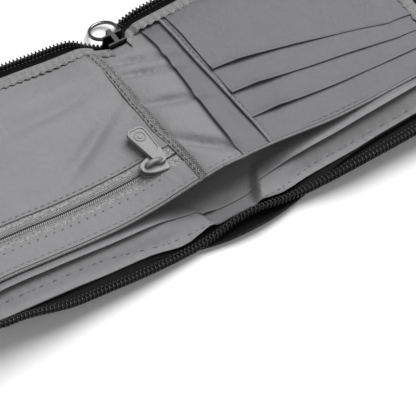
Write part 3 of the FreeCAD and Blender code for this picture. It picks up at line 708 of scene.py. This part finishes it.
# The binding's cross-section: how far in from the edge, and how high above the panel, from the inside out.
BINDING_PROFILE = (
    (5, 0.15), (4.6, 0.5), (3, 0.62), (1.2, 0.6), (0.4, 0.4), (0, -0.3), (-0.1, -1.6), (-0.1, -3)
)


def binding_line():
    """The seam's edge from the near outer end round to the spine, and the direction in from it."""
    corner = 8.0
    edge = 114.2
    far_edge = HALF_DEPTH + 0.2
    turn = np.linspace(0, math.pi / 2, 16)
    outer = np.stack([np.full(130, edge), np.linspace(-40, far_edge - corner, 130)], 1)
    bend = np.stack([edge - corner + corner * np.cos(turn), far_edge - corner + corner * np.sin(turn)], 1)
    far = np.stack([np.linspace(edge - corner, 4, 190), np.full(190, far_edge)], 1)
    line = np.concatenate([outer, bend[1:-1], far])
    ahead = np.gradient(line, axis=0)
    inward = np.stack([-ahead[:, 1], ahead[:, 0]], 1)
    return line, inward / np.linalg.norm(inward, axis=1, keepdims=True)


def build_binding(side, word):
    """Folded tape over the layers' raw edges along the outer and far seams."""
    line, inward = binding_line()
    run = np.concatenate([[0], np.cumsum(np.hypot(*np.diff(line, axis=0).T))])
    scallop = 0.3 * np.sin(2 * math.pi * run / 3.4)
    depth = np.stack([p + scallop * (p > 4) for p, _ in BINDING_PROFILE], 1)
    a = (line[:, :1] + inward[:, :1] * depth) * side
    b = line[:, 1:] + inward[:, 1:] * depth
    b = b - far_recess(a) * smooth((b - 30) / 10)
    stack = 1.7 if side < 0 else 2.0
    rises = np.array([rise for _, rise in BINDING_PROFILE])
    h = panel_height(a, b) + stack * smooth((np.abs(a) - 9) / 3) + rises
    h[:, 1:4] += 0.6 * scallop[:, None]
    h = np.maximum(h, 2.0)
    h[:, -1] = 1.7
    if side < 0:
        a, b, h = a[:, ::-1], b[:, ::-1], h[:, ::-1]
    binding = sheet_mesh(f"binding_tape_{word}", a, b, h, BINDING_THICK)
    names = [f"bill_binding_far_{word}", f"bill_binding_outer_{word}"]
    if side < 0:
        names += ["coin_hem_far", "coin_hem_outer"]
    finish(binding, BINDING, both_bodies(side), names)

    a = (line[:, 0] + inward[:, 0] * 3.6) * side
    b = line[:, 1] + inward[:, 1] * 3.6
    row = place(a, b, panel_height(a, b) + stack + 0.6)[:-8]
    sew(f"binding_sewing_{word}", row, THREAD, both_bodies(side))


# ---- left half: coin pocket
STRIP_IN = -10.3
STRIP_OUT = -15.3
CHAIN_B = -20.1
FRONT_FAR_B = -15.2
FRONT_NEAR_B = -25.0
COIN_TOP = 1.7
COIN_COIL_PITCH = 0.85
COIN_CHAIN_ENDS = (-23.0, -107.5)
COIN_BODIES = ("left_half",)


def strip_shift(b):
    """The seam strip bends towards the spine at its near end."""
    return 2.4 * smooth((-b - 2) / 28)


def coin_height(a, b, lift):
    return panel_height(a, b) + lift


def pocket_drift(a, b):
    """The coin pocket's inner end follows the seam strip's bend."""
    return a + strip_shift(b) * smooth((a + 60) / 44)


def build_coin_fronts():
    a_values = spread(-POCKET_END, STRIP_OUT + 0.6, 1.1)
    a, b = grid(a_values, spread(FRONT_FAR_B, HALF_DEPTH - 0.5, 1.0))
    a = pocket_drift(a, b)
    fold = 0.35 * hump((b - FRONT_FAR_B) / 0.9)
    fullness = 1.2 * hump((a + 60) / 38) * hump((b - 16) / 20)
    fullness = fullness - 2.3 * hump((b - 2.7 - 0.57 * (a + 36)) / 3.6) * hump((a + 38) / 16)
    fullness = fullness - 1.9 * hump((b - 23 - 0.1 * (a + 39)) / 4) * hump((a + 45) / 22)
    fullness = fullness * smooth((b - FRONT_FAR_B) / 8) * smooth((44 - b) / 6)
    waves = ripple(a, b, 0.2) * smooth((b - FRONT_FAR_B) / 6) + pucker(a, b - FRONT_FAR_B - 2, 0.08)
    h = coin_height(a, b, COIN_TOP - 0.1) + fold + fullness + waves
    front = sheet_mesh("coin_front_cloth_far", a, b, h, 0.4)
    finish(front, LINING, COIN_BODIES, ["coin_pocket_front_far"])

    a, b = grid(a_values, spread(PANEL_EDGE, FRONT_NEAR_B, 0.6))
    a = pocket_drift(a, b)
    fold = 0.3 * hump((b - FRONT_NEAR_B) / 0.8)
    h = coin_height(a, b, COIN_TOP - 0.2) + fold + pucker(a, b + 27.2, 0.07, 4.3)
    front = sheet_mesh("coin_front_cloth_near", a, b, h, 0.5)
    finish(front, LINING, COIN_BODIES, ["coin_pocket_front_near"])


def build_coin_strip():
    a, b = grid(spread(STRIP_OUT, STRIP_IN, 0.5), spread(PANEL_EDGE, HALF_DEPTH - 2.5, 0.9))
    soft = 0.35 * hump((a - STRIP_IN + 0.5) / 0.8) + 0.12 * np.sin(1.9 * b) * hump((a - STRIP_OUT - 1) / 1.2)
    a = a + strip_shift(b)
    h = coin_height(a, b, COIN_TOP + 0.3) + soft
    strip = sheet_mesh("coin_strip_cloth", a, b, h, 0.6)
    finish(strip, STRIP, both_bodies(-1), ["coin_seam_strip"])


def build_coin_zipper():
    """The two tapes, with rows along each: the coil, its stitches and a woven ridge."""
    tapes = (
        ("far", CHAIN_B + 0.5, FRONT_FAR_B + 1.5),
        ("near", FRONT_NEAR_B - 1.5, CHAIN_B - 0.5),
    )
    for word, low, high in tapes:
        a, b = grid(spread(-111, STRIP_OUT + 0.5, 1.2), spread(low, high, 0.5))
        a = pocket_drift(a, b)
        tape = sheet_mesh(f"coin_tape_cloth_{word}", a, b, coin_height(a, b, 1.15), 0.3)
        finish(tape, COIN_TAPE, COIN_BODIES, [f"coin_zip_tape_{word}"])

    a = spread(*COIN_CHAIN_ENDS, 0.8)
    for word, sign in (("far", 1), ("near", -1)):
        b = CHAIN_B + sign * 0.95
        line = place(a, b, coin_height(a, b, 1.3))
        teeth = dash_mesh(
            f"coin_coil_loops_{word}", line, COIN_COIL_PITCH, 1.7, 0.3, cross=sign * 1.1, flat=0.8
        )
        finish(teeth, COIN_COIL, COIN_BODIES, [f"coin_zip_coil_{word}"])
        b = CHAIN_B + sign * 1.9
        line = place(a, b, coin_height(a, b, 1.22))
        sew(
            f"coin_coil_sewing_{word}", line, COIN_COIL, COIN_BODIES, COIN_COIL_PITCH, 0.75, 0.18
        )
        b = CHAIN_B + sign * 2.7
        line = place(a, b, coin_height(a, b, 1.2))
        ridge = cord_mesh(f"coin_tape_ridge_{word}", line, 0.16, 6, 1.2)
        finish(ridge, COIN_TAPE, COIN_BODIES)
    # Near-black dashes along the chain are painted shade in its gaps.
    for word, shift, radius in (("far", 0.1, 0.2), ("near", -1.25, 0.13)):
        line = place(a, CHAIN_B + shift, coin_height(a, CHAIN_B, 1.42))
        gap = dash_mesh(f"coin_chain_gap_shade_{word}", line, 2 * COIN_COIL_PITCH, 1.15, radius)
        finish(gap, DARK_THREAD_AND_SHADE, COIN_BODIES)


def build_coin_stitches():
    a = spread(*COIN_CHAIN_ENDS, 0.8)
    # The near-black thread of the coin pocket's near row and of the strip's outer row partly stands for the
    # shade in the stitch holes.
    rows = (
        ("coin_sewing_far", FRONT_FAR_B + 1.3, COIN_TOP + 0.1, 2.8, 1.7, SOFT_THREAD, 0.13),
        ("coin_sewing_near", FRONT_NEAR_B - 1.5, COIN_TOP + 0.05, 3.6, 0.7, DARK_THREAD_AND_SHADE, 0.15),
    )
    for name, b, lift, pitch, length, thread, radius in rows:
        line = place(a, b, coin_height(a, b, lift))
        sew(name, line, thread, COIN_BODIES, pitch, length, radius)
    b = spread(PANEL_EDGE + 1, HALF_DEPTH - 5, 0.8)
    rows = (
        ("strip_sewing_outer", STRIP_OUT + 0.9, DARK_THREAD_AND_SHADE),
        ("strip_sewing_inner", STRIP_IN - 1.6, THREAD),
    )
    for name, start, thread in rows:
        a = start + strip_shift(b)
        line = place(a, b, coin_height(a, b, COIN_TOP + 0.42))
        sew(name, line, thread, both_bodies(-1), 2.7, 1.8, STITCH_RADIUS)


# ---- right half: card pockets
CARD_EDGE = 22.4

# Each slot's name, its mouth's place along b and its height above the panel.
SLOTS = (("near", -21.5, 1.25), ("middle", -7.5, 1.65), ("far", 6.5, 2.05))


def slip_edge(b):
    """The open edge of the rear slip pocket, on the spine side."""
    return 11.4 + 1.1 * np.sin((b - 5) / 17)


def card_edge(b):
    """The piped open edge of the card panel."""
    return CARD_EDGE - 1.3 * np.sin((b + 4) / 20)


def slot_edge(a, b):
    """The mouth of a card slot bows towards the near side, the far one most."""
    bow = 2.0 + 7.0 * smooth((b + 21.5) / 28)
    return b - bow * (np.clip(a - 23, 0, 75) / 52) ** 1.6


def build_card_pockets():
    right = ("right_half",)
    across, b = grid(np.linspace(0, 1, 96) ** 1.3, spread(PANEL_EDGE, HALF_DEPTH - 0.6, 1.1))
    a = slip_edge(b) + (POCKET_END - slip_edge(b)) * across
    lift = 1.3 * np.exp(-(a - slip_edge(b)) / 3.5) * smooth((b + 36) / 14) * smooth((46 - b) / 10)
    h = panel_height(a, b) + 0.45 + lift + ripple(a, b, 0.1)
    slip = sheet_mesh("slip_pocket_cloth", a, b, h, POCKET_THICK)
    finish(slip, POCKET, both_bodies(1), ["slip_pocket_rear"])

    a = card_edge(b) + 0.2 + (POCKET_END - card_edge(b) - 0.2) * across
    lift = 0.7 * np.exp(-(a - card_edge(b)) / 4) * smooth((b + 36) / 14)
    h = panel_height(a, b) + 0.85 + lift + ripple(a, b, 0.1)
    front = sheet_mesh("card_panel_cloth", a, b, h, POCKET_THICK)
    finish(front, POCKET, right, ["slip_pocket_front"])

    b = spread(PANEL_EDGE, HALF_DEPTH - 2, 0.8)
    lift = 0.7 * smooth((b + 36) / 14)
    a = card_edge(b)
    line = place(a, b, panel_height(a, b) + 0.95 + lift)
    piping = cord_mesh("card_piping_cord", line, 0.6)
    finish(piping, BINDING, right, ["card_panel_piping"])
    a = a + 1.5
    line = place(a, b, panel_height(a, b) + 1.0 + lift * 0.75)
    sew("card_piping_sewing", line, THREAD, right, 2.8, 1.8, 0.15)

    shares = np.concatenate([np.linspace(0, 0.15, 16)[:-1], np.linspace(0.15, 1, 36)])
    slot_start = CARD_EDGE + 1.6
    for word, mouth, top in SLOTS:
        across, share = grid(np.linspace(0, 1, 90) ** 1.2, shares)
        a = slot_start + (113.0 - slot_start) * across
        near = slot_edge(a, mouth)
        b = near + (HALF_DEPTH - 0.8 - near) * share
        inside = b - near
        gape = 1.9 * np.exp(-np.abs(a - 36) / 13) * np.exp(-inside / 5) + 0.35 * np.exp(-inside / 2.5)
        roll = 0.25 * hump((inside - 0.4) / 0.7) - 0.25 * hump(inside / 0.35)
        h = panel_height(a, b) + top + gape + roll + ripple(a, b + 3 * mouth, 0.1)
        slot = sheet_mesh(f"card_slot_cloth_{word}", a, b, h, POCKET_THICK)
        finish(slot, POCKET, right, [f"card_slot_{word}"])


# ---- hardware
def plate(name, outlines, thick, bevel, matrix):
    """A flat plate with rounded edges from closed outlines, in millimetres, placed by a matrix in metres."""
    curve = bpy.data.curves.new(name, "CURVE")
    curve.dimensions = "2D"
    curve.fill_mode = "BOTH"
    curve.extrude = (thick / 2 - bevel) * MM
    curve.bevel_depth = bevel * MM
    curve.bevel_resolution = 3
    curve.offset = -bevel * MM
    for points in outlines:
        spline = curve.splines.new("POLY")
        spline.points.add(len(points) - 1)
        for point, (x, y) in zip(spline.points, points):
            point.co = (x * MM, y * MM, 0, 1)
        spline.use_cyclic_u = True
    holder = bpy.data.objects.new(name + "_curve", curve)
    bpy.context.scene.collection.objects.link(holder)
    bpy.context.view_layer.update()
    graph = bpy.context.evaluated_depsgraph_get()
    mesh = bpy.data.meshes.new_from_object(holder.evaluated_get(graph))
    bpy.data.objects.remove(holder)
    mesh.transform(matrix)
    mesh.shade_smooth()
    mesh.set_sharp_from_angle(angle=math.radians(50))
    mesh.name = name
    made = bpy.data.objects.new(name, mesh)
    bpy.context.scene.collection.objects.link(made)
    return made


def rounded(length, width, radius, steps=8, tip_width=None):
    """A rounded rectangle from x = 0 to x = length; tip_width is its width at x = 0 if that differs."""
    first = (tip_width or width) / 2
    corners = (
        (radius, -first + radius),
        (length - radius, -width / 2 + radius),
        (length - radius, width / 2 - radius),
        (radius, first - radius),
    )
    points = []
    for k, (x, y) in enumerate(corners):
        start = (180, 270, 0, 90)[k]
        for step in range(steps + 1):
            turn = math.radians(start + 90 * step / steps)
            points.append((x + radius * math.cos(turn), y + radius * math.sin(turn)))
    return points


def circle(x, y, radius, steps=36):
    turns = [2 * math.pi * k / steps for k in range(steps)]
    return [(x + radius * math.cos(turn), y + radius * math.sin(turn)) for turn in turns]


def curve_through(corners):
    """A closed Catmull-Rom curve through the given points."""
    points = []
    count = len(corners)
    for i in range(count):
        before, here, after, next_one = (corners[(i + d) % count] for d in (-1, 0, 1, 2))
        for t in (0, 0.25, 0.5, 0.75):
            point = []
            for p0, p1, p2, p3 in zip(before, here, after, next_one):
                bend = 2 * p0 - 5 * p1 + 4 * p2 - p3
                twist = 3 * p1 - p0 - 3 * p2 + p3
                point.append(0.5 * (2 * p1 + (p2 - p0) * t + bend * t * t + twist * t**3))
            points.append(tuple(point))
    return points


def half_matrix(a, b, h, turn=0.0):
    """Axes of the left half at a flat point: x to the right, y far, z up, turned about z."""
    point = Vector(place(a, b, h))
    ahead = Vector(place(a + 0.5, b, h)) - Vector(place(a - 0.5, b, h))
    x = ahead.normalized()
    y = Vector((0, 1, 0))
    z = x.cross(y).normalized()
    y = z.cross(x)
    basis = Matrix((x, y, z)).transposed().to_4x4()
    return Matrix.Translation(point) @ basis @ Matrix.Rotation(turn, 4, "Z")


def join(name, objects):
    """One mesh from several."""
    meshes = [o.data for o in objects]
    points, faces = [], []
    for mesh in meshes:
        first = len(points)
        points += [tuple(v.co) for v in mesh.vertices]
        faces += [tuple(first + v for v in p.vertices) for p in mesh.polygons]
    for o in objects:
        bpy.data.objects.remove(o)
    return new_object(name, points, faces, None, 50)


def slider_lift():
    """How far the coin slider stands above its flat place, because the panel bulges there."""
    slider_a = -24.0
    return float(panel_height(slider_a, CHAIN_B) - PANEL_REST_H)


def slider_crown(lifted):
    """The bridge on the slider's top plate that holds the tab."""
    middle, half_span, foot_h, arch_h = -23.7, 3.3, 10.8, 12.1
    turn = np.linspace(0, math.pi, 24)
    inner_end = middle + half_span
    outer_end = middle - half_span
    a = np.concatenate([[inner_end] * 4, middle + half_span * np.cos(turn), [outer_end] * 4])
    leg = np.linspace(foot_h, arch_h, 4)
    h = np.concatenate([leg, arch_h + 1.25 * np.sin(turn), leg[::-1]])
    arch = place(a, CHAIN_B, h + lifted)
    count = 60
    sides = 12
    centre, direction = along(arch, np.linspace(0, lengths(arch)[-1], count))
    side, up = frames(direction, (0, 1, 0))
    rings = tube_points(centre, side, up, np.full(count, 0.72 * MM), sides)
    rings[..., 1] = CHAIN_B * MM + (rings[..., 1] - CHAIN_B * MM) * 1.5
    return new_object("slider_crown", rings.reshape(-1, 3), tube_faces(count, sides), None, 60)


def build_coin_slider():
    lifted = slider_lift()
    near_side = [(0.6, -3.6), (-2.5, -4.1), (-6.0, -3.7), (-8.8, -2.6), (-10.4, -1.2)]
    body = curve_through(near_side + [(x, -y) for x, y in reversed(near_side)])
    parts = []
    for k, (h, thick) in enumerate(((8.15, 0.7), (10.75, 0.8))):
        matrix = half_matrix(-19.0, CHAIN_B, h + lifted)
        parts.append(plate(f"slider_plate_{k}", [body], thick, 0.3, matrix))
    matrix = half_matrix(-19.0, CHAIN_B, 9.4 + lifted)
    parts.append(plate("slider_neck", [circle(-7.5, 0, 1.2, 20)], 2.6, 0.2, matrix))
    parts.append(slider_crown(lifted))
    slider = join("coin_slider_body", parts)
    finish(slider, PAINT, ("coin_slider",), ["coin_zip_slider"])


def build_coin_puller():
    """The painted tab: a plate with an eye, a raised border, and a plain ring and dot near its end."""
    matrix = half_matrix(-20.6, CHAIN_B, 11.95 + slider_lift(), math.radians(96))
    matrix = matrix @ Matrix.Rotation(math.radians(4), 4, "Y")

    def raised(height):
        return matrix @ Matrix.Translation((0, 0, height * MM))

    shape = [(x - 1.6, y) for x, y in rounded(19.3, 8.4, 2.6, 8, 5.6)]
    field = [(x + 4.3, y) for x, y in rounded(12.4, 6.6, 1.9, 8, 5.0)]
    disc_x = 13.2
    tab = plate("tab_plate", [shape, circle(1.2, 0, 1.5, 28)], 1.3, 0.35, matrix)
    border = plate("tab_border", [shape, field], 0.5, 0.2, raised(0.75))
    disc_rings = [circle(disc_x, 0, 2.5, 40), circle(disc_x, 0, 1.9, 40)]
    disc = plate("tab_disc", disc_rings, 0.45, 0.15, raised(0.72))
    dot = plate("tab_dot", [circle(disc_x, 0, 1.1, 28)], 0.4, 0.15, raised(0.7))
    puller = join("coin_puller_plate", [tab, border, disc, dot])
    finish(puller, PAINT, ("coin_puller",), ["coin_puller_tab"])


def build_ring():
    across = np.array([1.0, 0, 0])
    outward = np.array([0, math.cos(RING_TILT), math.sin(RING_TILT)])
    centre = (np.array(RING_PIVOT) + RING_RADIUS * outward) * MM
    steps = 72
    sides = 16
    turn = np.linspace(0, 2 * math.pi, steps + 1)[:-1]
    out = np.cos(turn)[:, None] * across + np.sin(turn)[:, None] * outward
    square = np.repeat(np.cross(across, outward)[None], steps, 0)
    line = centre + RING_RADIUS * MM * out
    rings = tube_points(line, out, square, np.full(steps, RING_WIRE * MM), sides)
    faces = []
    for i in range(steps):
        here = i * sides
        after = (i + 1) % steps * sides
        for j in range(sides):
            k = (j + 1) % sides
            faces.append((here + j, after + j, after + k, here + k))
    ring = new_object("main_ring_wire", rings.reshape(-1, 3), faces, None, 80)
    finish(ring, METAL, ("main_puller",), ["main_ring"])


# ---- build
for side, word in SIDES:
    build_cover(side, word)
    build_board(side, word)
    build_lining(side, word)
    build_main_tape(side, word)
    build_main_coil(side, word)
    build_divider(side, word)
    build_panel(side, word)
    build_binding(side, word)
    build_lining_stitches(side, word)
build_spine_stop()
build_coin_fronts()
build_coin_strip()
build_coin_zipper()
build_coin_stitches()
build_card_pockets()
build_coin_slider()
build_coin_puller()
build_ring()
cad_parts["main_zip_slider"].data.materials.clear()
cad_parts["main_zip_slider"].data.materials.append(SLIDER_METAL)


# ---- floor, light and camera
FLOOR_HEIGHT = -0.0002


def build_stage():
    mesh = bpy.data.meshes.new("floor")
    corners = [(x, y, FLOOR_HEIGHT) for x, y in ((-4, -4), (4, -4), (4, 4), (-4, 4))]
    mesh.from_pydata(corners, [], [(0, 1, 2, 3)])
    floor = bpy.data.objects.new("floor", mesh)
    bpy.context.scene.collection.objects.link(floor)
    mesh.materials.append(new_material("pale_floor", (0.93, 0.93, 0.93), 0.9, specular=0.1)[0])
    world = bpy.data.worlds.new("studio")
    world.use_nodes = True
    background = world.node_tree.nodes["Background"]
    background.inputs["Color"].default_value = (1, 1, 1, 1)
    background.inputs["Strength"].default_value = 0.24
    bpy.context.scene.world = world
    lamps = (
        ("key", (0.5, 0.3, 1.08), 1.1, 20.0),
        ("fill", (-0.45, -0.85, 0.95), 1.2, 3.0),
    )
    for name, where, size, power in lamps:
        data = bpy.data.lights.new(name, "AREA")
        data.shape = "DISK"
        data.size = size
        data.energy = power
        lamp = bpy.data.objects.new(name, data)
        bpy.context.scene.collection.objects.link(lamp)
        lamp.location = where
        lamp.rotation_mode = "QUATERNION"
        lamp.rotation_quaternion = (Vector((0, 0, 0)) - Vector(where)).to_track_quat("-Z", "Y")


CAMERA_AZIMUTH = -39.8
CAMERA_ELEVATION = 58.8
CAMERA_ROLL = 8.2
CAMERA_DISTANCE = 0.7636
CAMERA_LENS = 169.788
CAMERA_TARGET = Vector((-0.0069, -0.0383, 0))


def build_camera():
    data = bpy.data.cameras.new("camera")
    data.sensor_width = 36
    data.lens = CAMERA_LENS
    camera = bpy.data.objects.new("camera", data)
    bpy.context.scene.collection.objects.link(camera)
    turn, rise = math.radians(CAMERA_AZIMUTH), math.radians(CAMERA_ELEVATION)
    back = Vector((math.sin(turn) * math.cos(rise), -math.cos(turn) * math.cos(rise), math.sin(rise)))
    camera.location = CAMERA_TARGET + back * CAMERA_DISTANCE
    camera.rotation_mode = "QUATERNION"
    facing = (-back).to_track_quat("-Z", "Y").to_matrix().to_4x4()
    camera.rotation_quaternion = (facing @ Matrix.Rotation(math.radians(CAMERA_ROLL), 4, "Z")).to_quaternion()
    bpy.context.scene.camera = camera


build_stage()
build_camera()
bpy.context.scene.view_settings.view_transform = "Standard"
